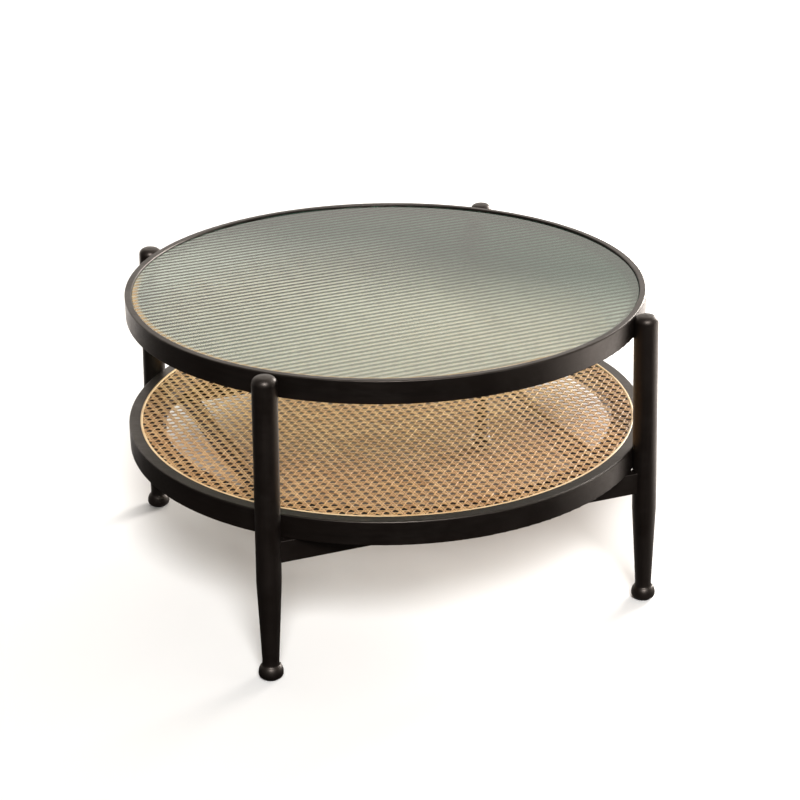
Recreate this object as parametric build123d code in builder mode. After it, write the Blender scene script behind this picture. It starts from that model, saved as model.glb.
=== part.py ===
from build123d import *
import os
from math import cos, radians, sin

# Round two-tier coffee table, sizes in millimetres. The origin is on the floor under the
# table's centre, +Z is up, -Y is the front and the legs stand on the diagonals.

# Overall layout
table_height = 466.5
leg_angles = {
    "front_left_leg": 225,
    "front_right_leg": 315,
    "back_right_leg": 45,
    "back_left_leg": 135,
}
leg_head_circle = 414.6
leg_foot_circle = 429.5

# Turned leg
leg_radius = 18.2
leg_taper_top = 155.0
leg_neck_radius = 12.4
leg_neck_height = 29.5
leg_flare_radius = 15.1
leg_flare_height = 20.0
leg_bulb_radius = 18.3
leg_bulb_height = 9.5
leg_sole_radius = 14.0
leg_head_round = 11.0
leg_head_sweep = 82.0
leg_crown_rise = 0.9

# Hoops
hoop_round = 2.0
upper_radius = 399.0
upper_thickness = 19.5
upper_top = 464.0
upper_height = 35.0
shelf_radius = 405.0
shelf_thickness = 17.4
shelf_top = 254.0
shelf_height = 37.0

# Glass and its rebate
rebate_radius = 388.5
glass_recess = 3.0
glass_thickness = 6.0
glass_gap = 0.7
glass_arris = 0.6
rib_pitch = 13.0
rib_depth = 2.0
rib_turn = 2.4
bumper_radius = 3.5
bumper_thickness = 1.0
bumper_play = 0.05
bumper_count = 12
bumper_start_angle = 15.0

# Cane panel
cane_frame_inner = 352.0
cane_frame_thickness = 25.0
cane_thickness = 1.6
spline_width = 3.8
spline_depth = 5.0
spline_crown = 0.5

# Underframe
rail_height = 33.5
rail_thickness = 16.0
cross_rail_x = 250.0
rail_round = 1.0

# Fasteners
fit_gap = 0.05
drill_over = 1.0
bolt_radius = 3.0
bolt_hole_radius = 3.3
bolt_head_radius = 5.0
bolt_head_height = 6.0
bolt_socket_radius = 2.9
bolt_socket_depth = 3.0
bolt_reach = 13.0
upper_seat_depth = 5.0
shelf_seat_depth = 6.0
washer_radius = 6.25
washer_thickness = 1.2
washer_play = 0.2
bolt_counterbore_radius = 6.8
insert_radius = 5.0
insert_length = 14.0
dowel_radius = 4.0
dowel_length = 30.0
dowel_spacing = 16.0
dowel_leg_offset = 4.25
cross_dowel_radius = 3.0
cross_dowel_bite = 18.9
screw_radius = 2.0
screw_head_radius = 4.0
screw_head_height = 3.0
screw_head_play = 0.5
screw_bite = 18.0
screw_counterbore = 10.0
glide_radius = 12.0
glide_thickness = 2.0
glide_round = 0.6
nail_radius = 1.0
nail_head_radius = 3.0
nail_head_height = 0.6
nail_head_play = 0.3
nail_recess = 1.2
nail_length = 16.0

# Worked-out levels and radii
upper_bottom = upper_top - upper_height
shelf_bottom = shelf_top - shelf_height
rail_bottom = shelf_bottom - rail_height
rail_middle = (rail_bottom + shelf_bottom) / 2
glass_top_level = upper_top - glass_recess
glass_bottom_level = glass_top_level - glass_thickness
rebate_floor = glass_bottom_level - bumper_thickness
upper_inner = upper_radius - upper_thickness
shelf_inner = shelf_radius - shelf_thickness
spline_inner = shelf_inner - spline_width
cane_bed = shelf_top - cane_thickness
groove_floor = shelf_top - spline_depth
cane_frame_bottom = cane_bed - cane_frame_thickness
upper_bolt_level = (upper_bottom + rebate_floor) / 2
shelf_bolt_level = (cane_frame_bottom + groove_floor) / 2
rail_y = (
    leg_foot_circle + (leg_head_circle - leg_foot_circle) * rail_middle / table_height
) * cos(radians(45))

os.makedirs("parts", exist_ok=True)


def save(part, name):
    """Label a finished piece and write it as its own STEP file."""
    part.label = name
    export_step(part, f"parts/{name}.step")


def radial_point(angle, radius, height):
    """Point at a plan angle in degrees, a radius from the table's axis and a height."""
    turn = radians(angle)
    return Vector(radius * cos(turn), radius * sin(turn), height)


def outward_plane(angle, radius, height):
    """Plane at a radius whose Z points away from the table's axis."""
    return Plane(origin=radial_point(angle, radius, height), z_dir=radial_point(angle, 1, 0))


def inward_plane(angle, radius, height):
    """Plane at a radius whose Z points at the table's axis, for holes bored outwards."""
    return Plane(origin=radial_point(angle, radius, height), z_dir=radial_point(angle, -1, 0))


def leg_plane(angle):
    """Plane through a leg's axis: Y runs up the axis from the floor, X is the leg's radius."""
    foot = radial_point(angle, leg_foot_circle, 0)
    head = radial_point(angle, leg_head_circle, table_height)
    across = radial_point(angle + 90, 1, 0)
    return Plane(origin=foot, x_dir=across, z_dir=across.cross(head - foot))


# Legs ------------------------------------------------------------------------------------


def leg_blank(angle):
    """Turned leg before it is housed for the hoops: bulb foot, taper, shaft and domed head."""
    plane = leg_plane(angle)
    shoulder = table_height - leg_crown_rise - leg_head_round
    with BuildPart() as blank:
        with BuildSketch(plane):
            with BuildLine():
                Line((0, 0), (leg_sole_radius, 0))
                Line((leg_sole_radius, 0), (leg_sole_radius, glide_thickness))
                Spline(
                    (leg_sole_radius, glide_thickness),
                    (leg_bulb_radius, leg_bulb_height),
                    (leg_flare_radius, leg_flare_height),
                    (leg_neck_radius, leg_neck_height),
                    tangents=((1.0, 0.45), (0.0, 1.0)),
                )
                Line((leg_neck_radius, leg_neck_height), (leg_radius, leg_taper_top))
                Line((leg_radius, leg_taper_top), (leg_radius, shoulder))
                head = JernArc(
                    start=(leg_radius, shoulder),
                    tangent=(0, 1),
                    radius=leg_head_round,
                    arc_size=leg_head_sweep,
                )
                Spline(
                    head @ 1,
                    (0, table_height),
                    tangents=(head % 1, (-1, 0)),
                )
                Line((0, table_height), (0, 0))
            make_face()
        revolve(axis=Axis(plane.origin, plane.y_dir))
        split(bisect_by=Plane.XY.offset(glide_thickness), keep=Keep.TOP)
    return blank.part


def dowel_plane(leg_x, leg_y, level):
    """Plane at a rail dowel's inner end, its Z pointing along the rail at the leg."""
    outer_end = abs(leg_x) - dowel_leg_offset
    side = 1 if leg_x > 0 else -1
    start = Vector(side * (outer_end - dowel_length), leg_y, level)
    return Plane(origin=start, z_dir=(side, 0, 0))


dowel_levels = (rail_middle - dowel_spacing / 2, rail_middle + dowel_spacing / 2)
corners = [(x, y) for x in (-rail_y, rail_y) for y in (-rail_y, rail_y)]
rail_dowel_planes = [dowel_plane(x, y, level) for x, y in corners for level in dowel_levels]
blanks = {name: leg_blank(angle) for name, angle in leg_angles.items()}

for leg_name, leg_angle in leg_angles.items():
    with BuildPart() as leg:
        add(blanks[leg_name])
        # Shallow housings that the two hoops seat in
        with BuildSketch(Plane.XY.offset(upper_bottom)):
            Circle(upper_radius)
        extrude(amount=upper_height, mode=Mode.SUBTRACT)
        with BuildSketch(Plane.XY.offset(shelf_bottom)):
            Circle(shelf_radius)
        extrude(amount=shelf_height, mode=Mode.SUBTRACT)
        # Bores for the threaded inserts
        with Locations(
            inward_plane(leg_angle, upper_radius, upper_bolt_level),
            inward_plane(leg_angle, shelf_radius, shelf_bolt_level),
        ):
            Hole(insert_radius + fit_gap, depth=insert_length + drill_over)
        # Blind holes for the rail dowels
        with BuildSketch(*rail_dowel_planes):
            Circle(dowel_radius + fit_gap)
        extrude(amount=dowel_length + drill_over, mode=Mode.SUBTRACT)
        # Pilot hole for the glide's nail
        with BuildSketch(Plane(origin=radial_point(leg_angle, leg_foot_circle, 0))):
            Circle(nail_radius + fit_gap)
        extrude(amount=nail_recess + nail_length, mode=Mode.SUBTRACT)
    save(leg.part, leg_name)

    with BuildPart() as glide:
        with BuildSketch(Plane(origin=radial_point(leg_angle, leg_foot_circle, 0))):
            Circle(glide_radius)
        extrude(amount=glide_thickness)
        fillet(glide.edges().group_by(Axis.Z)[0], glide_round)
        with Locations(
            Plane(origin=radial_point(leg_angle, leg_foot_circle, 0), z_dir=(0, 0, -1))
        ):
            CounterBoreHole(nail_radius + fit_gap, nail_head_radius + nail_head_play, nail_recess)
    save(glide.part, leg_name.replace("leg", "glide"))

with BuildPart() as glide_nails:
    for leg_angle in leg_angles.values():
        foot = radial_point(leg_angle, leg_foot_circle, 0)
        with BuildSketch(Plane(origin=foot + Vector(0, 0, nail_recess))):
            Circle(nail_radius)
        extrude(amount=nail_length)
        with BuildSketch(Plane(origin=foot + Vector(0, 0, nail_recess - nail_head_height))):
            Circle(nail_head_radius)
        extrude(amount=nail_head_height)
save(glide_nails.part, "glide_nails")

# Upper hoop and glass --------------------------------------------------------------------

upper_seat = upper_inner + upper_seat_depth
with BuildPart() as upper_hoop:
    with BuildSketch(Plane.XZ):
        with BuildLine():
            Polyline(
                (upper_inner, upper_bottom),
                (upper_radius, upper_bottom),
                (upper_radius, upper_top),
                (rebate_radius, upper_top),
                (rebate_radius, rebate_floor),
                (upper_inner, rebate_floor),
                close=True,
            )
        section = make_face()
        outer_corners = section.vertices().group_by(Axis.X)[-1]
        top_corners = section.vertices().group_by(Axis.Y)[-1].sort_by(Axis.X)[:1]
        inner_corners = section.vertices().group_by(Axis.X)[0]
        fillet(outer_corners + top_corners + inner_corners, hoop_round)
    revolve(axis=Axis.Z)
    # Counterbored holes for the bolts that go out into the legs
    for leg_angle in leg_angles.values():
        with Locations(inward_plane(leg_angle, upper_inner - drill_over, upper_bolt_level)):
            CounterBoreHole(
                bolt_hole_radius,
                bolt_counterbore_radius,
                upper_seat_depth + drill_over,
                depth=upper_thickness + 2 * drill_over,
            )
save(upper_hoop.part, "upper_hoop")

rib_direction = radians(rib_turn)
rib_section = Plane(
    origin=(0, 0, 0),
    x_dir=(-sin(rib_direction), cos(rib_direction), 0),
    z_dir=(cos(rib_direction), sin(rib_direction), 0),
)
glass_radius = rebate_radius - glass_gap
rib_count = 2 * int(glass_radius / rib_pitch + 1)
rib_edge = rib_count * rib_pitch / 2
rib_root = glass_bottom_level + rib_depth
with BuildPart() as glass_top:
    with BuildSketch(rib_section):
        with BuildLine():
            Line((-rib_edge, glass_top_level), (rib_edge, glass_top_level))
            Line((rib_edge, glass_top_level), (rib_edge, rib_root))
            for rib in range(rib_count):
                start = rib_edge - rib * rib_pitch
                ThreePointArc(
                    (start, rib_root),
                    (start - rib_pitch / 2, glass_bottom_level),
                    (start - rib_pitch, rib_root),
                )
            Line((-rib_edge, rib_root), (-rib_edge, glass_top_level))
        make_face()
    extrude(amount=rib_edge, both=True)
    with BuildSketch(Plane.XY.offset(glass_bottom_level)):
        Circle(glass_radius)
    extrude(amount=glass_thickness, mode=Mode.INTERSECT)
    top_edge = glass_top.faces().sort_by(Axis.Z)[-1].edges()
    chamfer(top_edge, glass_arris)
save(glass_top.part, "glass_top")

with BuildPart() as glass_bumpers:
    with BuildSketch(Plane.XY.offset(rebate_floor)):
        with PolarLocations((upper_inner + rebate_radius) / 2, bumper_count, start_angle=bumper_start_angle):
            Circle(bumper_radius)
    extrude(amount=bumper_thickness - bumper_play)
save(glass_bumpers.part, "glass_bumpers")

# Shelf hoop and cane panel ---------------------------------------------------------------

shelf_seat = cane_frame_inner + shelf_seat_depth
screw_x = ((shelf_radius - shelf_thickness / 2) ** 2 - rail_y**2) ** 0.5
screw_points = [(x, y) for x in (-screw_x, screw_x) for y in (-rail_y, rail_y)]
with BuildPart() as shelf_hoop:
    with BuildSketch(Plane.XZ):
        with Locations(((shelf_inner + shelf_radius) / 2, (shelf_bottom + shelf_top) / 2)):
            section = Rectangle(shelf_thickness, shelf_height)
        fillet(section.vertices().group_by(Axis.X)[-1], hoop_round)
    revolve(axis=Axis.Z)
    for leg_angle in leg_angles.values():
        with Locations(inward_plane(leg_angle, shelf_inner - drill_over, shelf_bolt_level)):
            Hole(bolt_hole_radius, depth=shelf_thickness + 2 * drill_over)
    # Pilot holes for the screws that come up through the rails
    with BuildSketch(Plane.XY.offset(shelf_bottom)):
        with Locations(*screw_points):
            Circle(screw_radius + fit_gap)
    extrude(amount=screw_bite + drill_over, mode=Mode.SUBTRACT)
save(shelf_hoop.part, "shelf_hoop")

with BuildPart() as cane_frame:
    with BuildSketch(Plane.XZ):
        with BuildLine():
            Polyline(
                (cane_frame_inner, cane_frame_bottom),
                (shelf_inner, cane_frame_bottom),
                (shelf_inner, groove_floor),
                (spline_inner, groove_floor),
                (spline_inner, cane_bed),
                (cane_frame_inner, cane_bed),
                close=True,
            )
        section = make_face()
        fillet(section.vertices().group_by(Axis.X)[0], hoop_round)
    revolve(axis=Axis.Z)
    for leg_angle in leg_angles.values():
        with Locations(inward_plane(leg_angle, cane_frame_inner - drill_over, shelf_bolt_level)):
            CounterBoreHole(
                bolt_hole_radius,
                bolt_counterbore_radius,
                shelf_seat_depth + drill_over,
                depth=shelf_inner - cane_frame_inner + 2 * drill_over,
            )
save(cane_frame.part, "cane_frame")

with BuildPart() as cane_webbing:
    with BuildSketch(Plane.XY.offset(cane_bed)):
        Circle(spline_inner)
    extrude(amount=cane_thickness)
save(cane_webbing.part, "cane_webbing")

with BuildPart() as cane_spline:
    with BuildSketch(Plane.XZ):
        with BuildLine():
            Line((spline_inner, shelf_top), (spline_inner, groove_floor))
            Line((spline_inner, groove_floor), (shelf_inner, groove_floor))
            Line((shelf_inner, groove_floor), (shelf_inner, shelf_top))
            ThreePointArc(
                (shelf_inner, shelf_top),
                ((spline_inner + shelf_inner) / 2, shelf_top + spline_crown),
                (spline_inner, shelf_top),
            )
        make_face()
    revolve(axis=Axis.Z)
save(cane_spline.part, "cane_spline")

# Underframe ------------------------------------------------------------------------------

cross_length = 2 * rail_y - rail_thickness
cross_dowel_start = rail_y - rail_thickness / 2 - cross_dowel_bite
cross_dowel_planes = [
    Plane(origin=(x, side * cross_dowel_start, level), z_dir=(0, side, 0))
    for x in (-cross_rail_x, cross_rail_x)
    for side in (-1, 1)
    for level in dowel_levels
]
for rail_name, rail_side in (("front_rail", -1), ("back_rail", 1)):
    with BuildPart() as rail:
        with Locations((0, rail_side * rail_y, rail_middle)):
            Box(2 * rail_y, rail_thickness, rail_height)
        fillet(rail.edges().filter_by(Axis.X), rail_round)
        for blank in blanks.values():
            add(blank, mode=Mode.SUBTRACT)
        with BuildSketch(*rail_dowel_planes):
            Circle(dowel_radius + fit_gap)
        extrude(amount=dowel_length, mode=Mode.SUBTRACT)
        with BuildSketch(*cross_dowel_planes):
            Circle(cross_dowel_radius + fit_gap)
        extrude(amount=dowel_length, mode=Mode.SUBTRACT)
        # Counterbored holes for the screws up into the shelf hoop
        with Locations(
            *[
                Plane(origin=(x, y, rail_bottom), z_dir=(0, 0, -1))
                for x, y in screw_points
                if y * rail_side > 0
            ]
        ):
            CounterBoreHole(
                screw_radius + fit_gap,
                screw_head_radius + screw_head_play,
                screw_counterbore,
                depth=rail_height,
            )
    save(rail.part, rail_name)

for rail_name, rail_x in (("left_cross_rail", -cross_rail_x), ("right_cross_rail", cross_rail_x)):
    with BuildPart() as cross_rail:
        with Locations((rail_x, 0, rail_middle)):
            Box(rail_thickness, cross_length, rail_height)
        fillet(cross_rail.edges().filter_by(Axis.Y), rail_round)
        with BuildSketch(*cross_dowel_planes):
            Circle(cross_dowel_radius + fit_gap)
        extrude(amount=dowel_length, mode=Mode.SUBTRACT)
    save(cross_rail.part, rail_name)

# Dowels and fasteners --------------------------------------------------------------------

with BuildPart() as rail_dowels:
    with BuildSketch(*rail_dowel_planes):
        Circle(dowel_radius)
    extrude(amount=dowel_length)
save(rail_dowels.part, "rail_dowels")

with BuildPart() as cross_rail_dowels:
    with BuildSketch(*cross_dowel_planes):
        Circle(cross_dowel_radius)
    extrude(amount=dowel_length)
save(cross_rail_dowels.part, "cross_rail_dowels")

with BuildPart() as shelf_screws:
    with BuildSketch(Plane.XY.offset(rail_bottom + screw_counterbore - screw_head_height)):
        with Locations(*screw_points):
            Circle(screw_head_radius)
    extrude(amount=screw_head_height)
    with BuildSketch(Plane.XY.offset(rail_bottom + screw_counterbore)):
        with Locations(*screw_points):
            Circle(screw_radius)
    extrude(amount=rail_height - screw_counterbore + screw_bite)
save(shelf_screws.part, "shelf_screws")


def make_bolts(name, seat, joint_radius, level):
    """Socket-head bolts from a seat inside the table, out through a hoop into the legs."""
    head_back = seat - washer_thickness
    with BuildPart() as bolts:
        for angle in leg_angles.values():
            with BuildSketch(outward_plane(angle, head_back - bolt_head_height, level)):
                Circle(bolt_head_radius)
            extrude(amount=bolt_head_height)
            with BuildSketch(outward_plane(angle, head_back, level)):
                Circle(bolt_radius)
            extrude(amount=joint_radius + bolt_reach - head_back)
            with BuildSketch(outward_plane(angle, head_back - bolt_head_height, level)):
                RegularPolygon(bolt_socket_radius, 6)
            extrude(amount=bolt_socket_depth, mode=Mode.SUBTRACT)
    save(bolts.part, name)


def make_washers(name, seat, level):
    """Flat washers under the bolts' heads."""
    with BuildPart() as washers:
        for angle in leg_angles.values():
            with BuildSketch(outward_plane(angle, seat - washer_thickness, level)):
                Circle(washer_radius)
                Circle(bolt_radius + washer_play, mode=Mode.SUBTRACT)
            extrude(amount=washer_thickness)
    save(washers.part, name)


def make_inserts(name, joint_radius, level):
    """Threaded inserts in the legs, level with the face that the hoop seats on."""
    with BuildPart() as inserts:
        for angle in leg_angles.values():
            with BuildSketch(outward_plane(angle, joint_radius, level)):
                Circle(insert_radius)
                Circle(bolt_radius + fit_gap, mode=Mode.SUBTRACT)
            extrude(amount=insert_length)
    save(inserts.part, name)


make_bolts("upper_bolts", upper_seat, upper_radius, upper_bolt_level)
make_washers("upper_washers", upper_seat, upper_bolt_level)
make_inserts("upper_inserts", upper_radius, upper_bolt_level)
make_bolts("shelf_bolts", shelf_seat, shelf_radius, shelf_bolt_level)
make_washers("shelf_washers", shelf_seat, shelf_bolt_level)
make_inserts("shelf_inserts", shelf_radius, shelf_bolt_level)
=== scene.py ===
"""Looks of a round two-tier table: stained wood, reeded glass and a woven cane shelf."""

import logging
import math
import random
from dataclasses import dataclass
from enum import Enum
from typing import Callable

import bmesh
import bpy
from mathutils import Matrix, Vector


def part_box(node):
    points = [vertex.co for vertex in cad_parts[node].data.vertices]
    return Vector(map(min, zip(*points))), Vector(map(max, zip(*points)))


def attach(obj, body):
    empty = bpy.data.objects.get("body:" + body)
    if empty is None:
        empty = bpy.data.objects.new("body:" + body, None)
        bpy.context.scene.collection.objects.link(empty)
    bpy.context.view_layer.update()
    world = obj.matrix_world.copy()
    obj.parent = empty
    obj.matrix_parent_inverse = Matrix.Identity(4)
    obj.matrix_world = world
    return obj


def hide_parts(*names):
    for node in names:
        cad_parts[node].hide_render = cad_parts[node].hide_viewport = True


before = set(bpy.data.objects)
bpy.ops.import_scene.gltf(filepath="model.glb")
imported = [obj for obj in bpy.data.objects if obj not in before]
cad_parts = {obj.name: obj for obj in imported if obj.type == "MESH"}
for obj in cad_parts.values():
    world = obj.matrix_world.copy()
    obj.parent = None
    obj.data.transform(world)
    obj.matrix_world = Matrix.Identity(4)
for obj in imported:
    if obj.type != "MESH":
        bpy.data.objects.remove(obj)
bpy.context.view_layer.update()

LOG = logging.getLogger("table")
FRAME_BODY = "frame"
GLASS_BODY = "glass"
MM = 0.001

Colour = tuple[float, float, float]


# Node building ---------------------------------------------------------------------------


class Nodes:
    """Adds nodes to one material's or group's tree and joins them up."""

    def __init__(self, tree: bpy.types.NodeTree) -> None:
        """Start on a tree.

        Args:
            tree: The node tree of a material or of a node group.
        """
        self.tree = tree

    def add(self, kind: str, **settings: object) -> bpy.types.Node:
        """Add one node.

        Args:
            kind: The node's type name.
            **settings: Attributes to set on it.

        Returns:
            The new node.
        """
        node = self.tree.nodes.new(kind)
        for name, value in settings.items():
            setattr(node, name, value)
        return node

    def feed(self, node: bpy.types.Node, **inputs: object) -> bpy.types.Node:
        """Set or link a node's inputs by name, with _ for a space.

        Args:
            node: The node whose inputs are fed.
            **inputs: A socket to link from, or a plain value to set.

        Returns:
            The same node.
        """
        for name, value in inputs.items():
            self.plug(node.inputs[name.replace("_", " ")], value)
        return node

    def plug(self, socket: bpy.types.NodeSocket, value: object) -> None:
        """Link a socket to another, or set its value.

        Args:
            socket: The input to fill.
            value: An output socket, a number, a vector or a colour.
        """
        if isinstance(value, bpy.types.NodeSocket):
            self.tree.links.new(value, socket)
        elif socket.type == "RGBA" and len(value) == 3:
            socket.default_value = (*value, 1.0)
        else:
            socket.default_value = value

    def math(self, operation: str, a: object, b: object = 0.0) -> bpy.types.NodeSocket:
        """One Math node's result.

        Args:
            operation: The Math node's operation.
            a: First value or socket.
            b: Second value or socket.

        Returns:
            The output socket.
        """
        node = self.add("ShaderNodeMath", operation=operation)
        self.plug(node.inputs[0], a)
        self.plug(node.inputs[1], b)
        return node.outputs[0]

    def spread(self, value: object, low: float, high: float) -> bpy.types.NodeSocket:
        """Spread a 0 to 1 mask between two numbers.

        Args:
            value: The mask's socket.
            low: Result where the mask is 0.
            high: Result where the mask is 1.

        Returns:
            The output socket.
        """
        return self.math("ADD", self.math("MULTIPLY", value, high - low), low)

    def window(self, value: object, start: float, end: float) -> bpy.types.NodeSocket:
        """Clamp and stretch a value so that start becomes 0 and end becomes 1.

        Args:
            value: The socket to stretch.
            start: Input value that gives 0.
            end: Input value that gives 1.

        Returns:
            The output socket.
        """
        node = self.add("ShaderNodeMapRange", interpolation_type="SMOOTHSTEP")
        self.plug(node.inputs["Value"], value)
        node.inputs["From Min"].default_value = start
        node.inputs["From Max"].default_value = end
        return node.outputs[0]

    def noise(
        self, vector: object, scale: float, detail: float = 3.0, rough: float = 0.5
    ) -> bpy.types.NodeSocket:
        """A noise texture's factor.

        Args:
            vector: Where the texture is read.
            scale: Its scale, in waves a metre.
            detail: Its octaves.
            rough: How strong the fine octaves are.

        Returns:
            The factor's socket.
        """
        node = self.add("ShaderNodeTexNoise")
        self.feed(node, Vector=vector, Scale=scale, Detail=detail, Roughness=rough)
        return node.outputs[0]

    def blend(self, factor: object, first: object, second: object) -> bpy.types.NodeSocket:
        """Mix two colours.

        Args:
            factor: 0 gives the first colour, 1 the second.
            first: A colour or socket.
            second: A colour or socket.

        Returns:
            The mixed colour's socket.
        """
        node = self.add("ShaderNodeMix", data_type="RGBA")
        self.plug(node.inputs[0], factor)
        self.plug(node.inputs[6], first)
        self.plug(node.inputs[7], second)
        return node.outputs[2]

    def mapping(
        self,
        vector: object,
        scale: tuple[float, float, float] = (1.0, 1.0, 1.0),
        turn: float = 0.0,
    ) -> bpy.types.NodeSocket:
        """Turn a vector about Z, then stretch it.

        Args:
            vector: The vector's socket.
            scale: Stretch along the turned axes.
            turn: Angle about Z in radians.

        Returns:
            The changed vector's socket.
        """
        turned = self.add("ShaderNodeVectorRotate", rotation_type="Z_AXIS")
        self.feed(turned, Vector=vector, Angle=turn)
        stretched = self.add("ShaderNodeVectorMath", operation="MULTIPLY")
        self.plug(stretched.inputs[0], turned.outputs[0])
        self.plug(stretched.inputs[1], scale)
        return stretched.outputs[0]

    def bump(
        self, height: object, distance: float, strength: float = 1.0
    ) -> bpy.types.NodeSocket:
        """A bumped normal.

        Args:
            height: The height's socket, 0 to 1.
            distance: Height of a full step, in metres.
            strength: How much of it shows.

        Returns:
            The normal's socket.
        """
        node = self.add("ShaderNodeBump")
        self.feed(node, Height=height, Distance=distance, Strength=strength)
        return node.outputs[0]

    def level_length(self, vector: object) -> bpy.types.NodeSocket:
        """Length of a vector's level part.

        Args:
            vector: The vector's socket.

        Returns:
            The length's socket.
        """
        level = self.add("ShaderNodeVectorMath", operation="MULTIPLY")
        self.plug(level.inputs[0], vector)
        self.plug(level.inputs[1], (1.0, 1.0, 0.0))
        length = self.add("ShaderNodeVectorMath", operation="LENGTH")
        self.plug(length.inputs[0], level.outputs[0])
        return length.outputs["Value"]

    def object_place(self) -> bpy.types.NodeSocket:
        """Object coordinates, which are metres in the table's own frame."""
        return self.add("ShaderNodeTexCoord").outputs["Object"]


def new_group(
    name: str,
    inputs: dict[str, tuple[str, object]],
    outputs: dict[str, str],
    build: Callable[[Nodes, bpy.types.Node, bpy.types.Node], None],
) -> bpy.types.NodeTree:
    """Make a shader node group once, with named sockets.

    Args:
        name: The group's name.
        inputs: Socket name to its type and default value.
        outputs: Socket name to its type.
        build: Fills the group, given its builder, input node and output node.

    Returns:
        The group's tree.
    """
    if name in bpy.data.node_groups:
        return bpy.data.node_groups[name]
    tree = bpy.data.node_groups.new(name, "ShaderNodeTree")
    for label, (kind, value) in inputs.items():
        socket = tree.interface.new_socket(name=label, in_out="INPUT", socket_type=kind)
        if value is not None:
            socket.default_value = value
    for label, kind in outputs.items():
        tree.interface.new_socket(name=label, in_out="OUTPUT", socket_type=kind)
    nodes = Nodes(tree)
    build(nodes, nodes.add("NodeGroupInput"), nodes.add("NodeGroupOutput"))
    return tree


def hoop_run_group() -> bpy.types.NodeTree:
    """Group that unrolls a place round the table's axis.

    Returns:
        The group: metres round the hoop, metres out from the axis, and height.
    """

    def build(nodes: Nodes, given: bpy.types.Node, result: bpy.types.Node) -> None:
        """Fill the group."""
        split = nodes.feed(nodes.add("ShaderNodeSeparateXYZ"), Vector=given.outputs[0])
        x, y, z = split.outputs
        angle = nodes.math("ARCTAN2", y, x)
        squares = nodes.math("ADD", nodes.math("MULTIPLY", x, x), nodes.math("MULTIPLY", y, y))
        radius = nodes.math("SQRT", squares)
        joined = nodes.add("ShaderNodeCombineXYZ")
        nodes.feed(joined, X=nodes.math("MULTIPLY", angle, given.outputs[1]), Y=radius, Z=z)
        nodes.plug(result.inputs[0], joined.outputs[0])

    return new_group(
        "hoop_run",
        {"Place": ("NodeSocketVector", None), "Radius": ("NodeSocketFloat", 0.4)},
        {"Run": "NodeSocketVector"},
        build,
    )


def grain_group() -> bpy.types.NodeTree:
    """Group for wood whose grain runs along its vector's X.

    Returns:
        The group: soft bands of tone, thin pores, and a height for bump.
    """

    def build(nodes: Nodes, given: bpy.types.Node, result: bpy.types.Node) -> None:
        """Fill the group."""
        run = given.outputs[0]
        drift = nodes.noise(nodes.mapping(run, (3.0, 40.0, 40.0)), 1.0, 2.0)
        bands = nodes.noise(nodes.mapping(run, (9.0, 420.0, 420.0)), 1.0, 4.0, 0.6)
        fine = nodes.noise(nodes.mapping(run, (70.0, 2600.0, 2600.0)), 1.0, 2.0)
        pores = nodes.window(fine, 0.60, 0.72)
        tone = nodes.math("ADD", nodes.math("MULTIPLY", bands, 0.7), nodes.math("MULTIPLY", drift, 0.3))
        height = nodes.math("MULTIPLY", nodes.math("SUBTRACT", bands, pores), 0.5)
        nodes.plug(result.inputs[0], nodes.window(tone, 0.3, 0.7))
        nodes.plug(result.inputs[1], pores)
        nodes.plug(result.inputs[2], height)

    return new_group(
        "wood_grain",
        {"Run": ("NodeSocketVector", None)},
        {"Tone": "NodeSocketFloat", "Pores": "NodeSocketFloat", "Height": "NodeSocketFloat"},
        build,
    )


def handling_group() -> bpy.types.NodeTree:
    """Group for the faint cloudiness that wiping and handling leave on a finish.

    Returns:
        The group: a 0 to 1 mask, even in brightness and soft at its edges.
    """

    def build(nodes: Nodes, given: bpy.types.Node, result: bpy.types.Node) -> None:
        """Fill the group."""
        cloud = nodes.noise(given.outputs[0], 14.0, 4.0, 0.55)
        streak = nodes.noise(nodes.mapping(given.outputs[0], (1.0, 6.0, 6.0), 0.6), 30.0, 2.0)
        both = nodes.math("ADD", nodes.math("MULTIPLY", cloud, 0.65), nodes.math("MULTIPLY", streak, 0.35))
        nodes.plug(result.inputs[0], nodes.window(both, 0.35, 0.65))

    return new_group(
        "handling",
        {"Place": ("NodeSocketVector", None)},
        {"Mask": "NodeSocketFloat"},
        build,
    )


def fibre_group() -> bpy.types.NodeTree:
    """Group for split cane and reed, whose fibres run along its vector's X.

    Returns:
        The group: long streaks, dark flecks, and a height for bump.
    """

    def build(nodes: Nodes, given: bpy.types.Node, result: bpy.types.Node) -> None:
        """Fill the group."""
        run = given.outputs[0]
        streaks = nodes.noise(nodes.mapping(run, (30.0, 2200.0, 600.0)), 1.0, 2.0)
        patches = nodes.noise(nodes.mapping(run, (22.0, 90.0, 90.0)), 1.0, 2.0)
        flecks = nodes.noise(nodes.mapping(run, (260.0, 900.0, 900.0)), 1.0, 2.0)
        tone = nodes.math("ADD", nodes.math("MULTIPLY", streaks, 0.5), nodes.math("MULTIPLY", patches, 0.5))
        nodes.plug(result.inputs[0], nodes.window(tone, 0.36, 0.64))
        nodes.plug(result.inputs[1], nodes.window(flecks, 0.64, 0.74))
        nodes.plug(result.inputs[2], streaks)

    return new_group(
        "cane_fibre",
        {"Run": ("NodeSocketVector", None)},
        {"Tone": "NodeSocketFloat", "Flecks": "NodeSocketFloat", "Height": "NodeSocketFloat"},
        build,
    )


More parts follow.
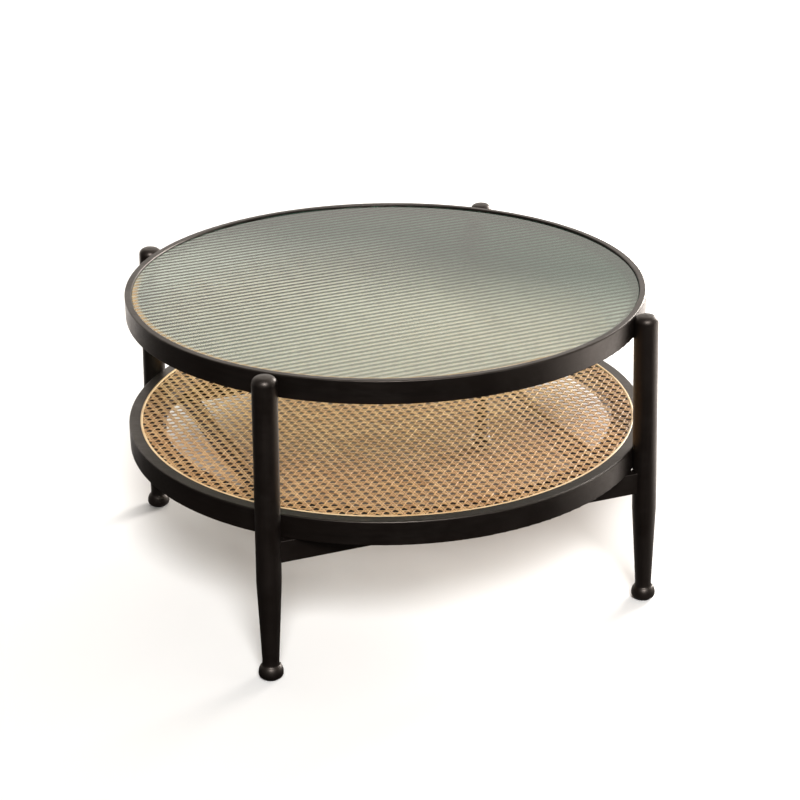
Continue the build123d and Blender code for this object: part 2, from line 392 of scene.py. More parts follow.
def start_material(name: str) -> tuple[bpy.types.Material, Nodes, bpy.types.Node]:
    """Make a material with an empty Principled shader on its output.

    Args:
        name: The material's name.

    Returns:
        The material, its node builder and its Principled node.
    """
    material = bpy.data.materials.new(name)
    material.use_nodes = True
    nodes = Nodes(material.node_tree)
    material.node_tree.nodes.clear()
    shader = nodes.add("ShaderNodeBsdfPrincipled")
    output = nodes.add("ShaderNodeOutputMaterial")
    nodes.feed(output, Surface=shader.outputs[0])
    return material, nodes, shader


def use_group(nodes: Nodes, tree: bpy.types.NodeTree, *values: object) -> bpy.types.Node:
    """Place a node group in a tree.

    Args:
        nodes: The tree's builder.
        tree: The group.
        *values: What feeds the group's inputs, in order.

    Returns:
        The group's node.
    """
    node = nodes.add("ShaderNodeGroup", node_tree=tree)
    for socket, value in zip(node.inputs, values):
        nodes.plug(socket, value)
    return node


# Finishes --------------------------------------------------------------------------------


class GrainRun(Enum):
    """Which way the grain runs in a wooden piece."""

    ROUND = "round"
    UP = "up"
    ACROSS = "across"
    DEEP = "deep"


@dataclass(frozen=True)
class StainedWood:
    """Black-brown stained wood under a satin lacquer."""

    run: GrainRun
    dark: Colour = (0.0016, 0.0009, 0.0007)
    light: Colour = (0.0050, 0.0030, 0.0023)
    gloss_low: float = 0.36
    gloss_high: float = 0.48

    def grain_place(self, nodes: Nodes) -> bpy.types.NodeSocket:
        """Give the place in grain space, with X along the grain.

        Args:
            nodes: The material's node builder.

        Returns:
            The vector's socket.
        """
        place = nodes.object_place()
        if self.run is GrainRun.ROUND:
            return use_group(nodes, hoop_run_group(), place, 0.4).outputs[0]
        if self.run is GrainRun.ACROSS:
            return place
        if self.run is GrainRun.DEEP:
            return nodes.mapping(place, turn=math.radians(90))
        swing = nodes.add("ShaderNodeVectorRotate", rotation_type="Y_AXIS")
        nodes.feed(swing, Vector=place, Angle=math.radians(90))
        return swing.outputs[0]

    def material(self) -> bpy.types.Material:
        """Build the finish.

        Returns:
            The material.
        """
        material, nodes, shader = start_material(f"stained_wood_{self.run.value}")
        grain = use_group(nodes, grain_group(), self.grain_place(nodes))
        handled = use_group(nodes, handling_group(), nodes.object_place())
        tint = nodes.blend(grain.outputs["Tone"], self.dark, self.light)
        tint = nodes.blend(grain.outputs["Pores"], tint, (0.0018, 0.0012, 0.0010))
        rough = nodes.spread(handled.outputs[0], self.gloss_low, self.gloss_high)
        rough = nodes.math("ADD", rough, nodes.math("MULTIPLY", grain.outputs["Pores"], 0.12))
        nodes.feed(shader, Base_Color=tint, Roughness=rough, IOR=1.5)
        nodes.feed(shader, Specular_IOR_Level=0.64, Specular_Tint=(1.0, 0.87, 0.79))
        nodes.feed(shader, Normal=nodes.bump(grain.outputs["Height"], 0.00012, 0.5))
        return material


@dataclass(frozen=True)
class Cane:
    """Split cane, pale and a little glossy, darker in patches."""

    name: str
    turn: float
    pale: Colour = (0.70, 0.42, 0.185)
    deep: Colour = (0.33, 0.155, 0.052)
    bright: Colour = (0.92, 0.70, 0.44)

    def material(self) -> bpy.types.Material:
        """Build the finish for strands that run at one angle.

        Returns:
            The material.
        """
        material, nodes, shader = start_material(self.name)
        place = nodes.object_place()
        run = nodes.mapping(place, turn=-self.turn)
        fibre = use_group(nodes, fibre_group(), run)
        island = nodes.add("ShaderNodeNewGeometry").outputs["Random Per Island"]
        tint = nodes.blend(fibre.outputs["Tone"], self.deep, self.pale)
        tint = nodes.blend(nodes.window(island, 0.45, 1.0), tint, nodes.blend(0.28, tint, self.bright))
        cloud = nodes.window(nodes.noise(place, 9.0, 3.0), 0.35, 0.7)
        tint = nodes.blend(nodes.math("MULTIPLY", cloud, 0.25), tint, (0.50, 0.27, 0.12))
        tint = nodes.blend(nodes.math("MULTIPLY", fibre.outputs["Flecks"], 0.6), tint, (0.16, 0.08, 0.035))
        rough = nodes.spread(fibre.outputs["Tone"], 0.50, 0.36)
        nodes.feed(shader, Base_Color=tint, Roughness=rough, IOR=1.5)
        nodes.feed(shader, Normal=nodes.bump(fibre.outputs["Height"], 0.00006, 0.6))
        return material


@dataclass(frozen=True)
class SplineReed:
    """The pale reed that holds the cane in its groove."""

    pale: Colour = (0.90, 0.70, 0.44)
    deep: Colour = (0.66, 0.42, 0.20)

    def material(self) -> bpy.types.Material:
        """Build the finish.

        Returns:
            The material.
        """
        material, nodes, shader = start_material("spline_reed")
        place = nodes.object_place()
        run = use_group(nodes, hoop_run_group(), place, 0.38).outputs[0]
        fibre = use_group(nodes, fibre_group(), run)
        slow = nodes.window(nodes.noise(nodes.mapping(run, (4.0, 20.0, 20.0)), 1.0, 2.0), 0.35, 0.65)
        tone = nodes.math("MULTIPLY", nodes.math("ADD", fibre.outputs["Tone"], slow), 0.5)
        tint = nodes.blend(tone, self.deep, self.pale)
        tint = nodes.blend(nodes.math("MULTIPLY", fibre.outputs["Flecks"], 0.4), tint, (0.30, 0.15, 0.06))
        nodes.feed(shader, Base_Color=tint, Roughness=nodes.spread(tone, 0.48, 0.38), IOR=1.5)
        nodes.feed(shader, Normal=nodes.bump(fibre.outputs["Height"], 0.00005, 0.6))
        return material


@dataclass(frozen=True)
class ReededGlass:
    """Pale green glass whose ribs underneath blur what lies below into fine lines; its colour adds painted
    dark lines, painted shade and painted refraction.
    """

    rib_pitch: float = 13.0 * MM
    rib_turn: float = math.radians(2.4)
    face_level: float = 461.0 * MM
    pale: Colour = (0.60, 0.68, 0.59)
    # Green of the glass, deepened towards the back and right as painted shade.
    green: Colour = (0.045, 0.105, 0.075)
    # Painted refraction: brownish colour of the cane seen through the ribs, painted in bands.
    painted_see_through_tan: Colour = (0.34, 0.28, 0.19)
    # Painted shade: colour of the dark lines painted over the ribs' valleys.
    painted_valley_shade: Colour = (0.010, 0.007, 0.004)
    # Painted refraction: orange seen through the glass at its front left rim, painted between these radii.
    painted_rim_amber: Colour = (0.70, 0.36, 0.08)
    painted_amber_inner: float = 376.5 * MM
    painted_amber_outer: float = 384.0 * MM
    shadow: Colour = (0.80, 0.86, 0.80)

    def rib_place(self, nodes: Nodes, place: object) -> bpy.types.NodeSocket:
        """Give how far a place lies between two valleys of the ribs.

        Args:
            nodes: The material's node builder.
            place: The place's socket.

        Returns:
            A socket that runs from 0 to 1 across each rib.
        """
        turned = nodes.feed(
            nodes.add("ShaderNodeSeparateXYZ"), Vector=nodes.mapping(place, turn=-self.rib_turn)
        )
        return nodes.math("FRACT", nodes.math("DIVIDE", turned.outputs[1], self.rib_pitch))

    def material(self) -> bpy.types.Material:
        """Build the finish.

        Returns:
            The material.
        """
        material, nodes, shader = start_material("reeded_glass")
        place = nodes.object_place()
        handled = use_group(nodes, handling_group(), place)
        smear = nodes.spread(handled.outputs[0], 0.05, 0.12)
        nodes.feed(shader, Base_Color=self.tint(nodes, place), Roughness=smear)
        nodes.feed(shader, IOR=1.5, Transmission_Weight=0.72, Specular_IOR_Level=0.32)
        clear = nodes.feed(nodes.add("ShaderNodeBsdfTransparent"), Color=self.shadow)
        mixed = nodes.add("ShaderNodeMixShader")
        ray = nodes.add("ShaderNodeLightPath")
        nodes.plug(mixed.inputs[0], ray.outputs["Is Shadow Ray"])
        nodes.plug(mixed.inputs[1], shader.outputs[0])
        nodes.plug(mixed.inputs[2], clear.outputs[0])
        output = next(n for n in material.node_tree.nodes if n.type == "OUTPUT_MATERIAL")
        nodes.feed(output, Surface=mixed.outputs[0])
        return material

    def tint(self, nodes: Nodes, place: object) -> bpy.types.NodeSocket:
        """Colour the glass: pale, with painted brownish bands of the cane seen through, painted shade that
        deepens its green towards the back and right, painted dark lines over the valleys, and painted
        orange refraction at the front left rim.

        Args:
            nodes: The material's node builder.
            place: The place's socket.

        Returns:
            The colour's socket.
        """
        dark, painted_warm_bands = self.rib_masks(nodes, place)
        # Painted shade: the glass turns a deeper green towards the back and right.
        painted_light_slope = self.lean(nodes, place, (0.8, 0.7, 0.0))
        side = nodes.math("ADD", nodes.spread(nodes.noise(place, 3.0, 2.0), -0.10, 0.10), painted_light_slope)
        # Painted refraction: brownish bands of the cane seen through the ribs.
        tint = nodes.blend(painted_warm_bands, self.pale, self.painted_see_through_tan)
        tint = nodes.blend(nodes.window(side, -0.17, 0.22), tint, self.green)
        # Painted shade: dark lines over the valleys.
        tint = nodes.blend(dark, tint, self.painted_valley_shade)
        # Painted refraction: orange dashes at the front left rim, strongest over the valleys.
        rim = nodes.window(nodes.level_length(place), self.painted_amber_inner, self.painted_amber_outer)
        painted_rim_near = nodes.math("MULTIPLY", rim, nodes.window(painted_light_slope, -0.12, -0.22))
        share = nodes.math("MULTIPLY", painted_rim_near, nodes.spread(dark, 0.35, 0.9))
        return nodes.blend(share, tint, self.painted_rim_amber)

    def rib_masks(
        self, nodes: Nodes, place: object
    ) -> tuple[bpy.types.NodeSocket, bpy.types.NodeSocket]:
        """Mask the painted dark line over each of the valleys and the painted brownish band of see-through
        cane beside it.

        Args:
            nodes: The material's node builder.
            place: The place's socket.

        Returns:
            The painted dark lines' mask, on the upper face only and stronger towards the back, and the
            painted brownish bands' mask, stronger towards the front.
        """
        rib = self.rib_place(nodes, place)
        from_crown = nodes.math("MULTIPLY", nodes.math("ABSOLUTE", nodes.math("SUBTRACT", rib, 0.5)), 2.0)
        ragged = nodes.noise(nodes.mapping(place, (45.0, 12.0, 12.0)), 1.0, 3.0, 0.6)
        edge = nodes.math("ADD", from_crown, nodes.spread(ragged, -0.13, 0.13))
        height = nodes.feed(nodes.add("ShaderNodeSeparateXYZ"), Vector=place).outputs[2]
        top = nodes.window(height, self.face_level - 1.2 * MM, self.face_level - 0.8 * MM)
        # Painted shade and refraction shift: dark lines grow towards the back, brownish bands towards the
        # front.
        painted_far_side = nodes.window(self.lean(nodes, place, (-0.4, 1.0, 0.0)), -0.32, 0.12)
        dark = nodes.math("MULTIPLY", nodes.window(edge, 0.42, 0.60), nodes.spread(painted_far_side, 0.48, 1.0))
        painted_warm_bands = nodes.math("MULTIPLY", nodes.window(edge, 0.25, 0.55), nodes.spread(painted_far_side, 0.5, 0.1))
        return nodes.math("MULTIPLY", dark, top), painted_warm_bands

    def lean(
        self, nodes: Nodes, place: object, towards: tuple[float, float, float]
    ) -> bpy.types.NodeSocket:
        """Slow drift from one side of the pane to the other.

        Args:
            nodes: The material's node builder.
            place: The place's socket.
            towards: Direction in which the result grows.

        Returns:
            A socket that is 0 at the pane's centre and about 0.3 at its rim.
        """
        dot = nodes.add("ShaderNodeVectorMath", operation="DOT_PRODUCT")
        nodes.plug(dot.inputs[0], place)
        nodes.plug(dot.inputs[1], towards)
        return dot.outputs["Value"]


@dataclass(frozen=True)
class ClearSilicone:
    """Soft clear rubber of the glass's bumpers."""

    tint: Colour = (0.86, 0.88, 0.87)

    def material(self) -> bpy.types.Material:
        """Build the finish.

        Returns:
            The material.
        """
        material, nodes, shader = start_material("clear_silicone")
        cloud = nodes.noise(nodes.object_place(), 400.0, 2.0)
        tint = nodes.blend(cloud, self.tint, (0.78, 0.80, 0.79))
        rough = nodes.spread(cloud, 0.25, 0.45)
        nodes.feed(shader, Base_Color=tint, Roughness=rough, IOR=1.41, Transmission_Weight=0.6)
        return material


@dataclass(frozen=True)
class Metal:
    """Turned or plated metal of the fasteners."""

    name: str
    tint: Colour
    worn: Colour
    rough: float

    def material(self) -> bpy.types.Material:
        """Build the finish.

        Returns:
            The material.
        """
        material, nodes, shader = start_material(self.name)
        place = nodes.object_place()
        handled = use_group(nodes, handling_group(), place)
        fine = nodes.noise(place, 1800.0, 3.0)
        tint = nodes.blend(nodes.math("MULTIPLY", handled.outputs[0], 0.6), self.tint, self.worn)
        rough = nodes.spread(fine, self.rough - 0.06, self.rough + 0.10)
        nodes.feed(shader, Base_Color=tint, Roughness=rough, Metallic=1.0)
        nodes.feed(shader, Normal=nodes.bump(fine, 0.00003, 0.4))
        return material


@dataclass(frozen=True)
class BlackOxide:
    """Blackened steel of the bolts."""

    tint: Colour = (0.020, 0.019, 0.020)

    def material(self) -> bpy.types.Material:
        """Build the finish.

        Returns:
            The material.
        """
        material, nodes, shader = start_material("black_oxide")
        fine = nodes.noise(nodes.object_place(), 900.0, 3.0)
        tint = nodes.blend(fine, self.tint, (0.05, 0.045, 0.045))
        nodes.feed(shader, Base_Color=tint, Roughness=nodes.spread(fine, 0.34, 0.5), Metallic=0.8)
        return material


@dataclass(frozen=True)
class Beech:
    """Plain beech of the dowels, its grain along one axis."""

    run: GrainRun

    def material(self) -> bpy.types.Material:
        """Build the finish.

        Returns:
            The material.
        """
        material, nodes, shader = start_material(f"beech_{self.run.value}")
        turn = math.radians(90) if self.run is GrainRun.DEEP else 0.0
        grain = use_group(nodes, grain_group(), nodes.mapping(nodes.object_place(), turn=turn))
        tint = nodes.blend(grain.outputs["Tone"], (0.46, 0.28, 0.15), (0.62, 0.42, 0.25))
        nodes.feed(shader, Base_Color=tint, Roughness=nodes.spread(grain.outputs["Tone"], 0.7, 0.58))
        nodes.feed(shader, Normal=nodes.bump(grain.outputs["Height"], 0.0001, 0.6))
        return material


@dataclass(frozen=True)
class MattNylon:
    """Moulded black nylon of the floor glides."""

    tint: Colour = (0.018, 0.018, 0.019)

    def material(self) -> bpy.types.Material:
        """Build the finish.

        Returns:
            The material.
        """
        material, nodes, shader = start_material("matt_nylon")
        place = nodes.object_place()
        fine = nodes.noise(place, 1400.0, 2.0)
        tint = nodes.blend(nodes.noise(place, 90.0, 3.0), self.tint, (0.034, 0.033, 0.032))
        nodes.feed(shader, Base_Color=tint, Roughness=nodes.spread(fine, 0.5, 0.68), IOR=1.5)
        nodes.feed(shader, Normal=nodes.bump(fine, 0.00004, 0.6))
        return material


# Pieces ----------------------------------------------------------------------------------


def finish_piece(
    name: str, bm: bmesh.types.BMesh, material: bpy.types.Material, body: str
) -> bpy.types.Object:
    """Turn a bmesh into a shown piece that rides on a body.

    Args:
        name: The piece's name.
        bm: Its mesh, in metres in the table's frame. It is freed.
        material: Its finish.
        body: The body that it moves with.

    Returns:
        The piece.
    """
    for face in bm.faces:
        face.smooth = True
    mesh = bpy.data.meshes.new(name)
    bm.to_mesh(mesh)
    bm.free()
    mesh.materials.append(material)
    piece = bpy.data.objects.new(name, mesh)
    bpy.context.scene.collection.objects.link(piece)
    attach(piece, body)
    triangles = sum(len(face.vertices) - 2 for face in mesh.polygons)
    LOG.info("%s: %d triangles", name, triangles)
    return piece


class Layer(Enum):
    """The four ways that the cane's strands run, by their angle in the weave."""

    WARP = 90.0
    WEFT = 0.0
    RISING = 45.0
    FALLING = -45.0


@dataclass
class CaneWeave:
    """Cane panel woven six ways: pairs along and across, and single diagonals both ways."""

    rim: float
    bed: float
    overlap: float = 1.0 * MM
    rise: float = 1.0 * MM
    pitch: float = 13.9 * MM
    turn: float = math.radians(3.4)
    strand_width: float = 2.15 * MM
    strand_thickness: float = 0.42 * MM
    pair_half: float = 1.55 * MM
    node_lift: float = 0.24 * MM
    diagonal_lift: float = 0.50 * MM
    shoulder_share: float = 0.30
    shoulder_lift: float = 0.92
    tuck: float = 1.2 * MM
    tuck_drop: float = 1.4 * MM
    sway: float = 0.14 * MM
    sway_waves: float = 21.0
    section_sides: int = 6
    seed: int = 41

    @property
    def radius(self) -> float:
        """Reach of the strands, whose ends are held under the spline."""
        return self.rim + self.overlap

    @property
    def middle(self) -> float:
        """Height of the panel's middle."""
        return self.bed + self.rise

    def straight_stations(self, side: int, half: float) -> list[tuple[float, float]]:
        """Heights along one strand of a pair, over and under the pairs that cross it.

        Args:
            side: -1 or 1, which strand of the pair.
            half: Half the strand's length.

        Returns:
            Distance along the strand and height there, in order.
        """
        stations = []
        count = int(half / self.pitch) + 2
        for node in range(-count, count + 1):
            centre = node * self.pitch
            stations.append((centre - self.pair_half, side * self.node_lift))
            stations.append((centre + self.pair_half, -side * self.node_lift))
            stations.append((centre + self.pitch / 2, 0.0))
        return stations

    def diagonal_stations(self, phase: float, sign: int, half: float) -> list[tuple[float, float]]:
        """Heights along a diagonal, over the pairs one way and under those the other way.

        Args:
            phase: Where along the strand it first tops a pair.
            sign: 1 or -1, which of the two crossed diagonals it is.
            half: Half the strand's length.

        Returns:
            Distance along the strand and height there, in order.
        """
        step = self.pitch / math.sqrt(2)
        shoulder = self.shoulder_share * step
        stations = []
        count = int(half / step) + 3
        for crossing in range(-count, count + 1):
            centre = phase + crossing * step
            lift = sign * self.diagonal_lift * (1 if crossing % 2 == 0 else -1)
            stations.append((centre - shoulder, lift * self.shoulder_lift))
            stations.append((centre, lift))
            stations.append((centre + shoulder, lift * self.shoulder_lift))
        return stations

    def lay_strand(
        self,
        master: bmesh.types.BMesh,
        angle: float,
        offset: float,
        stations: list[tuple[float, float]],
        dice: random.Random,
    ) -> None:
        """Extrude one strand from rim to rim and add it to the layer.

        Args:
            master: The layer's bmesh.
            angle: The strand's direction in radians.
            offset: Its distance from the panel's centre, to its left.
            stations: Distance along it and height, in order.
            dice: Source of its small unevenness.
        """
        reach = self.radius**2 - offset**2
        if reach <= (2 * self.pitch) ** 2:
            return
        kept = self.tucked(stations, math.sqrt(reach))
        along = Vector((math.cos(angle), math.sin(angle), 0.0))
        left = Vector((-along.y, along.x, 0.0))
        wave = dice.uniform(0.0, math.tau)
        bow = dice.uniform(0.3, 1.0) * self.sway
        width = self.strand_width * dice.uniform(0.94, 1.05)
        shift = dice.uniform(-1.0, 1.0) * self.sway
        centres = []
        for distance, height in kept:
            drift = shift + bow * math.sin(wave + distance * self.sway_waves)
            level = Vector((0.0, 0.0, self.middle + height))
            centres.append(along * distance + left * (offset + drift) + level)
        up = Vector((0.0, 0.0, self.strand_thickness / 2))
        self.sweep(master, centres, Matrix((left * width / 2, up, along)).transposed())

    def tucked(
        self, stations: list[tuple[float, float]], half: float
    ) -> list[tuple[float, float]]:
        """Cut a strand's stations to its length and bend its two ends down.

        Args:
            stations: Distance along the strand and height, in order.
            half: Half the strand's length.

        Returns:
            The stations from one bent end to the other.
        """
        level = half - self.tuck
        kept = [station for station in stations if abs(station[0]) < level]
        start = [(-half, -self.tuck_drop), (-level, 0.0)]
        end = [(level, 0.0), (half, -self.tuck_drop)]
        return [*start, *kept, *end]

    def sweep(
        self, master: bmesh.types.BMesh, centres: list[Vector], section: Matrix
    ) -> None:
        """Extrude a flat oval through a row of centres and add it to the layer.

        Args:
            master: The layer's bmesh.
            centres: Middles of the strand's sections, in order.
            section: Turns a unit circle into the strand's section.
        """
        bm = bmesh.new()
        matrix = Matrix.Translation(centres[0]) @ section.to_4x4()
        ring = bmesh.ops.create_circle(
            bm, cap_ends=True, segments=self.section_sides, radius=1.0, matrix=matrix
        )["verts"]
        edges = list({edge for vert in ring for edge in vert.link_edges})
        for here, there in zip(centres, centres[1:]):
            grown = bmesh.ops.extrude_edge_only(bm, edges=edges)["geom"]
            ring = [item for item in grown if isinstance(item, bmesh.types.BMVert)]
            fresh = set(ring)
            edges = [
                item
                for item in grown
                if isinstance(item, bmesh.types.BMEdge) and fresh.issuperset(item.verts)
            ]
            bmesh.ops.translate(bm, verts=ring, vec=there - here)
        bmesh.ops.contextual_create(bm, geom=edges)
        bmesh.ops.recalc_face_normals(bm, faces=bm.faces)
        part = bpy.data.meshes.new("strand")
        bm.to_mesh(part)
        bm.free()
        master.from_mesh(part)
        bpy.data.meshes.remove(part)

    def build_layer(self, layer: Layer) -> bpy.types.Object:
        """Build all the strands that run one way.

        Args:
            layer: Which way they run.

        Returns:
            The layer's piece.
        """
        dice = random.Random(self.seed + int(layer.value))
        master = bmesh.new()
        angle = self.turn + math.radians(layer.value)
        if layer in (Layer.WARP, Layer.WEFT):
            self.lay_pairs(master, layer, angle, dice)
        else:
            self.lay_diagonals(master, layer, angle, dice)
        name = f"cane_{layer.name.lower()}"
        material = Cane(name, angle).material()
        return finish_piece(name, master, material, FRAME_BODY)

    def lay_pairs(
        self, master: bmesh.types.BMesh, layer: Layer, angle: float, dice: random.Random
    ) -> None:
        """Lay the pairs of strands that run along or across the weave.

        Args:
            master: The layer's bmesh.
            layer: Which way they run.
            angle: Their direction in radians.
            dice: Source of their small unevenness.
        """
        count = int(self.radius / self.pitch) + 1
        swap = 1 if layer is Layer.WARP else -1
        for line in range(-count, count + 1):
            for side in (-1, 1):
                offset = line * self.pitch + side * self.pair_half
                stations = self.straight_stations(side * swap, self.radius)
                self.lay_strand(master, angle, offset, stations, dice)

    def lay_diagonals(
        self, master: bmesh.types.BMesh, layer: Layer, angle: float, dice: random.Random
    ) -> None:
        """Lay the single strands that run one diagonal way.

        Args:
            master: The layer's bmesh.
            layer: Which way they run.
            angle: Their direction in radians.
            dice: Source of their small unevenness.
        """
        step = self.pitch / math.sqrt(2)
        count = int(self.radius / step) + 1
        sign = 1 if layer is Layer.RISING else -1
        for line in range(-count, count):
            offset = (line + 0.5) * step
            phase = sign * offset
            stations = self.diagonal_stations(phase, sign, self.radius + abs(phase))
            self.lay_strand(master, angle, offset, stations, dice)

    def build(self) -> None:
        """Weave the panel, in place of the plain CAD disc."""
        for layer in Layer:
            piece = self.build_layer(layer)
            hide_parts("cane_webbing")


@dataclass
class CaneSpline:
    """Reed pressed into the groove round the cane, its two ends butted with a small gap."""

    inner: float
    outer: float
    foot: float
    crown: float
    joint_angle: float = math.radians(-30.8)
    joint_gap: float = 1.3 * MM
    edge_drop: float = 0.9 * MM
    steps: int = 288
    crown_steps: int = 6

    def build(self) -> None:
        """Spin the reed's section round the table, stopping short of a full turn."""
        bm = bmesh.new()
        middle = (self.inner + self.outer) / 2
        half = (self.outer - self.inner) / 2 - 0.05 * MM
        shoulder = self.crown - self.edge_drop
        points = [(middle + half, self.foot), (middle + half, shoulder)]
        for step in range(1, self.crown_steps):
            swing = math.pi * step / self.crown_steps
            rise = self.edge_drop * math.sin(swing)
            points.append((middle + half * math.cos(swing), shoulder + rise))
        points += [(middle - half, shoulder), (middle - half, self.foot)]
        start = self.joint_angle + self.joint_gap / middle / 2
        turn = Matrix.Rotation(start, 4, "Z")
        verts = [bm.verts.new(turn @ Vector((r, 0.0, z))) for r, z in points]
        face = bm.faces.new(verts)
        bmesh.ops.spin(
            bm,
            geom=[face],
            cent=(0.0, 0.0, 0.0),
            axis=(0.0, 0.0, 1.0),
            angle=math.tau - self.joint_gap / middle,
            steps=self.steps,
            use_merge=False,
        )
        bmesh.ops.recalc_face_normals(bm, faces=bm.faces)
        piece = finish_piece("reed_spline", bm, SplineReed().material(), FRAME_BODY)
        piece.data.set_sharp_from_angle(angle=math.radians(50))
        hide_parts("cane_spline")


@dataclass
class FrameParts:
    """CAD nodes that keep their own shape and get their finish here."""

    def dress(self) -> None:
        """Give every kept CAD node its material."""
        hoop = StainedWood(GrainRun.ROUND).material()
        leg = StainedWood(GrainRun.UP).material()
        across = StainedWood(GrainRun.ACROSS).material()
        deep = StainedWood(GrainRun.DEEP).material()
        zinc = Metal("zinc_plate", (0.60, 0.60, 0.58), (0.42, 0.42, 0.42), 0.32).material()
        brass = Metal("turned_brass", (0.72, 0.52, 0.22), (0.50, 0.34, 0.13), 0.30).material()
        oxide = BlackOxide().material()
        nylon = MattNylon().material()
        finishes = {
            "upper_hoop": hoop,
            "shelf_hoop": hoop,
            "cane_frame": hoop,
            "front_rail": across,
            "back_rail": across,
            "left_cross_rail": deep,
            "right_cross_rail": deep,
            "glass_top": ReededGlass().material(),
            "glass_bumpers": ClearSilicone().material(),
            "rail_dowels": Beech(GrainRun.ACROSS).material(),
            "cross_rail_dowels": Beech(GrainRun.DEEP).material(),
            "upper_bolts": oxide,
            "shelf_bolts": oxide,
            "upper_washers": zinc,
            "shelf_washers": zinc,
            "shelf_screws": zinc,
            "glide_nails": zinc,
            "upper_inserts": brass,
            "shelf_inserts": brass,
        }
        for corner in ("front_left", "front_right", "back_left", "back_right"):
            finishes[f"{corner}_leg"] = leg
            finishes[f"{corner}_glide"] = nylon
        for name, material in finishes.items():
            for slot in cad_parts[name].material_slots:
                slot.material = material
            LOG.info("%s: dressed in %s", name, material.name)


# Studio ----------------------------------------------------------------------------------


@dataclass
class Softbox:
    """One large soft light that faces the table."""

    name: str
    place: tuple[float, float, float]
    size: tuple[float, float]
    power: float
    tint: Colour = (1.0, 1.0, 1.0)
    aim: tuple[float, float, float] = (0.0, 0.0, 0.25)

    def build(self) -> None:
        """Place the light and point it."""
        light = bpy.data.lights.new(self.name, "AREA")
        light.shape = "RECTANGLE"
        light.size, light.size_y = self.size
        light.energy = self.power
        light.color = self.tint
        lamp = bpy.data.objects.new(self.name, light)
        lamp.location = self.place
        aim = Vector(self.aim) - lamp.location
        lamp.rotation_euler = aim.to_track_quat("-Z", "Y").to_euler()
        bpy.context.scene.collection.objects.link(lamp)


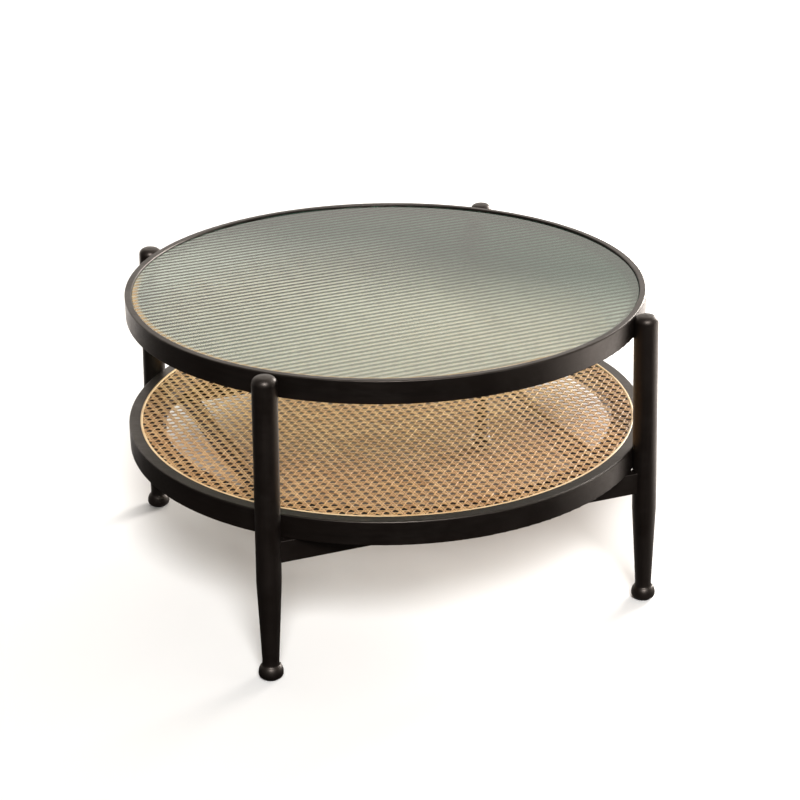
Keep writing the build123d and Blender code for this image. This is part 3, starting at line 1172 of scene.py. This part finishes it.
@dataclass
class Studio:
    """Pale floor, soft lights and the camera."""

    azimuth: float = math.radians(-21.423)
    elevation: float = math.radians(23.348)
    roll: float = math.radians(-0.697)
    distance: float = 3.0109
    aim_height: float = 0.2639
    lens: float = 85.74
    shift: float = 0.0165
    floor_size: float = 30.0
    # Painted shadow: colour, centre and reach of a soft dark patch painted on the floor under and behind
    # the table, larger than the key light's own shadow.
    shade: Colour = (0.14, 0.11, 0.09)
    shade_place: tuple[float, float, float] = (0.18, 0.39, 0.0)
    shade_inner: float = 0.26
    shade_outer: float = 0.60
    bright_angle: float = math.radians(45)
    bright_power: float = 1.25
    # Painted light: how strongly the floor glows in reflections and bounced light, though it is no lamp.
    floor_glow: float = 1.0
    dark_power: float = 0.15
    key_power: float = 3.25
    key_angle: float = math.radians(-104)
    key_elevation: float = math.radians(42)
    key_spread: float = math.radians(20)

    def build_camera(self) -> None:
        """Place the camera and make it the scene's."""
        back = Vector(
            (
                math.sin(self.azimuth) * math.cos(self.elevation),
                -math.cos(self.azimuth) * math.cos(self.elevation),
                math.sin(self.elevation),
            )
        )
        right = Vector((math.cos(self.azimuth), math.sin(self.azimuth), 0.0))
        up = back.cross(right)
        rolled_right = right * math.cos(self.roll) + up * math.sin(self.roll)
        rolled_up = up * math.cos(self.roll) - right * math.sin(self.roll)
        camera = bpy.data.cameras.new("camera")
        camera.lens = self.lens
        camera.sensor_width = 36.0
        camera.shift_x = self.shift
        camera.clip_end = 100.0
        stand = bpy.data.objects.new("camera", camera)
        turned = Matrix((rolled_right, rolled_up, back)).transposed().to_4x4()
        place = Vector((0.0, 0.0, self.aim_height)) + back * self.distance
        stand.matrix_world = Matrix.Translation(place) @ turned
        bpy.context.scene.collection.objects.link(stand)
        bpy.context.scene.camera = stand

    def bright_side(self, nodes: Nodes, vector: object) -> bpy.types.NodeSocket:
        """Mask that is 1 on the studio's bright side and 0 on its dark side.

        Args:
            nodes: The tree's builder.
            vector: A direction or a place, measured from the table.

        Returns:
            The mask's socket.
        """
        dot = nodes.add("ShaderNodeVectorMath", operation="DOT_PRODUCT")
        nodes.plug(dot.inputs[0], vector)
        nodes.plug(dot.inputs[1], (math.cos(self.bright_angle), math.sin(self.bright_angle), 0.0))
        return nodes.window(dot.outputs["Value"], -0.15, 0.75)

    def build_floor(self) -> None:
        """Lay a pale floor with a painted shadow under and behind the table. Where it only shows in
        reflections and bounced light it is duller, painted dark on the studio's dark side, and glows as
        painted light on its bright side.
        """
        bm = bmesh.new()
        bmesh.ops.create_grid(bm, x_segments=1, y_segments=1, size=self.floor_size / 2)
        mesh = bpy.data.meshes.new("floor")
        bm.to_mesh(mesh)
        bm.free()
        material, nodes, shader = start_material("pale_floor")
        ray = nodes.add("ShaderNodeLightPath")
        place = nodes.object_place()
        # Painted reflection and painted light: in reflections and bounced light the floor is painted dark
        # on the studio's dark side and glows on its bright side; seen through glass it is dimmer still.
        bounced = nodes.math("MAXIMUM", ray.outputs["Is Glossy Ray"], ray.outputs["Is Diffuse Ray"])
        side = nodes.math(
            "MULTIPLY",
            self.bright_side(nodes, place),
            nodes.spread(ray.outputs["Is Transmission Ray"], 1.0, 0.30),
        )
        painted_bounce_tone = nodes.blend(side, (0.03, 0.028, 0.027), (0.90, 0.87, 0.84))
        cloud = nodes.noise(place, 0.7, 2.0)
        pale = nodes.blend(cloud, (0.93, 0.93, 0.93), (0.95, 0.95, 0.95))
        # Painted shadow: a soft dark patch on the floor under and behind the table, so that the cane's
        # holes read dark.
        moved = nodes.add("ShaderNodeVectorMath", operation="SUBTRACT")
        nodes.plug(moved.inputs[0], place)
        nodes.plug(moved.inputs[1], self.shade_place)
        painted_shadow_pool = nodes.window(nodes.level_length(moved.outputs[0]), self.shade_outer, self.shade_inner)
        pale = nodes.blend(painted_shadow_pool, pale, self.shade)
        nodes.feed(shader, Base_Color=nodes.blend(bounced, pale, painted_bounce_tone), Roughness=0.9)
        painted_glow = nodes.math("MULTIPLY", nodes.math("MULTIPLY", bounced, side), self.floor_glow)
        nodes.feed(shader, Specular_IOR_Level=0.0, Emission_Color=(1.0, 0.92, 0.86), Emission_Strength=painted_glow)
        mesh.materials.append(material)
        floor = bpy.data.objects.new("floor", mesh)
        bpy.context.scene.collection.objects.link(floor)

    def build_world(self) -> None:
        """Surround the table with white that dims towards its dark side."""
        world = bpy.data.worlds.new("surround")
        world.use_nodes = True
        nodes = Nodes(world.node_tree)
        world.node_tree.nodes.clear()
        seen = nodes.add("ShaderNodeLightPath").outputs["Is Camera Ray"]
        direction = nodes.add("ShaderNodeTexCoord").outputs["Generated"]
        power = nodes.spread(self.bright_side(nodes, direction), self.dark_power, self.bright_power)
        power = nodes.math("MAXIMUM", power, seen)
        tint = nodes.blend(seen, (1.0, 0.93, 0.85), (1.0, 1.0, 1.0))
        shade = nodes.feed(nodes.add("ShaderNodeBackground"), Color=tint, Strength=power)
        nodes.feed(nodes.add("ShaderNodeOutputWorld"), Surface=shade.outputs[0])
        bpy.context.scene.world = world

    def build_sun(self) -> None:
        """Set one wide soft key from above the camera, even over the whole floor."""
        light = bpy.data.lights.new("key", "SUN")
        light.energy = self.key_power
        light.angle = self.key_spread
        light.color = (1.0, 0.99, 0.975)
        lamp = bpy.data.objects.new("key", light)
        lamp.rotation_euler = (-self.key_direction()).to_track_quat("-Z", "Y").to_euler()
        bpy.context.scene.collection.objects.link(lamp)

    def key_direction(self) -> Vector:
        """Direction from the table to the key."""
        level = math.cos(self.key_elevation)
        plan = Vector((math.cos(self.key_angle), math.sin(self.key_angle), 0.0)) * level
        return plan + Vector((0.0, 0.0, math.sin(self.key_elevation)))

    def build_lights(self) -> None:
        """Set the softboxes and the plain colour transform."""
        self.build_sun()
        Softbox("side_right", (2.8, 1.2, 1.0), (1.3, 1.3), 150.0, (1.0, 0.95, 0.90)).build()
        bpy.context.scene.view_settings.view_transform = "Standard"

    def build(self) -> None:
        """Build the whole studio."""
        self.build_floor()
        self.build_world()
        self.build_lights()
        self.build_camera()


def main() -> None:
    """Build the table's looks and the studio, in order."""
    logging.basicConfig(level=logging.INFO, format="%(name)s: %(message)s")
    FrameParts().dress()
    webbing_low, webbing_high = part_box("cane_webbing")
    spline_low, spline_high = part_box("cane_spline")
    CaneWeave(rim=webbing_high.x, bed=webbing_low.z).build()
    CaneSpline(webbing_high.x, spline_high.x, spline_low.z, spline_high.z).build()
    Studio().build()


if __name__ == "__main__":
    main()
